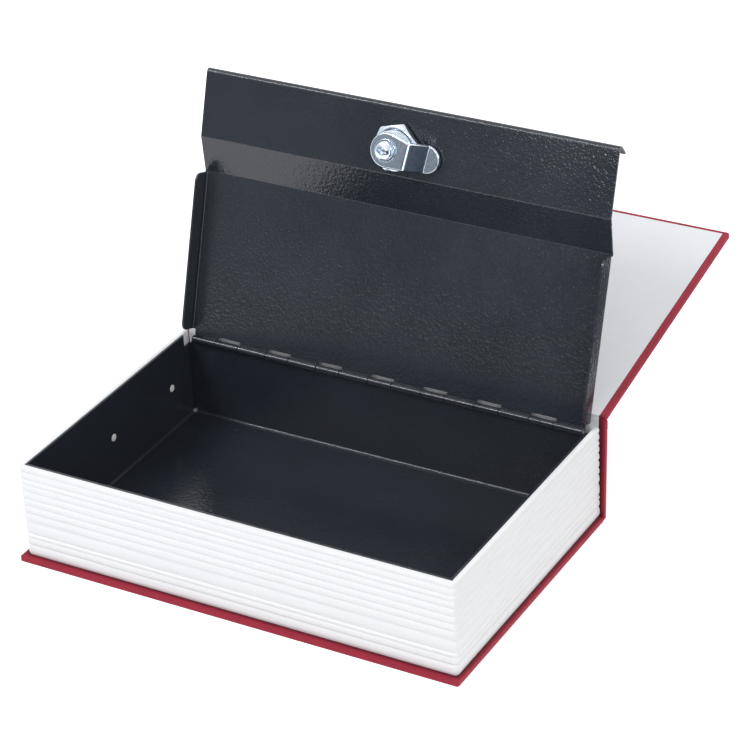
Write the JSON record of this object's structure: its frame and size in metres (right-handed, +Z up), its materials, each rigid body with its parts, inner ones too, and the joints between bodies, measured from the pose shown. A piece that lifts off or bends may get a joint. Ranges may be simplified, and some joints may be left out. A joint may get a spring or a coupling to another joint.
{
  "type": "book diversion safe",
  "caption": "Steel cash tray with a locking lid, set in a page block and bound in a cloth covered book case, standing open.",
  "frame": {"origin": "middle of the back cover's underside", "axes": "+X along the hinge, +Y towards the spine, +Z up out of the tray"},
  "size_m": [0.24, 0.3048, 0.1851],
  "materials": {
    "greyboard": "rough pressed board",
    "book_cloth": "fine woven book cloth",
    "endpaper": "smooth matt paper",
    "page_plastic": "satin moulded plastic",
    "painted_steel": "orange peel powder coat",
    "zinc_plate": "bright zinc plate",
    "lock_brass": "machined",
    "spring_steel": "drawn wire"
  },
  "bodies": {
    "base": {"back_board": "greyboard", "back_cloth": "book_cloth", "back_pastedown": "endpaper", "page_block": "page_plastic", "tray": "painted_steel", "hinge_pin": "zinc_plate"},
    "spine": {"spine_board": "greyboard", "spine_cloth": "book_cloth", "spine_lining": "endpaper"},
    "front_cover": {"front_board": "greyboard", "front_cloth": "book_cloth", "front_endpaper": "endpaper"},
    "lid": {"lid": "painted_steel", "lock_housing": "zinc_plate", "lock_star_washer": "zinc_plate", "lock_nut": "zinc_plate"},
    "lock_cam": {"lock_plug": "lock_brass", "lock_cam": "zinc_plate", "cam_washer": "zinc_plate", "cam_screw": "zinc_plate", "lock_wafer_1": "lock_brass", "lock_wafer_2": "lock_brass", "lock_wafer_3": "lock_brass", "lock_wafer_4": "lock_brass", "lock_wafer_5": "lock_brass", "wafer_spring_1": "spring_steel", "wafer_spring_2": "spring_steel", "wafer_spring_3": "spring_steel", "wafer_spring_4": "spring_steel", "wafer_spring_5": "spring_steel"}
  },
  "joints": [
    {"name": "lid_hinge", "type": "hinge", "parent": "base", "child": "lid", "pos_m": [0, 0.0725, 0.0495], "axis": [1, 0, 0], "range_deg": [0, 107.45]},
    {"name": "spine_fold", "type": "hinge", "parent": "base", "child": "spine", "pos_m": [0, 0.075, 0.00125], "axis": [1, 0, 0], "range_deg": [0, 2.6]},
    {"name": "front_cover_fold", "type": "hinge", "parent": "spine", "child": "front_cover", "pos_m": [0, 0.07754, 0.05512], "axis": [1, 0, 0], "range_deg": [0, 166.25]},
    {"name": "lock_cam_turn", "type": "hinge", "parent": "lid", "child": "lock_cam", "pos_m": [-0.002, 0.10839, 0.16369], "axis": [0, -0.954, 0.2999], "range_deg": [0, 98.5]}
  ],
  "couplings": [
    {"joint": "front_cover_fold", "follows": "lid_hinge", "ratio": 1.5472},
    {"joint": "spine_fold", "follows": "lid_hinge", "ratio": 0.024197}
  ]
}
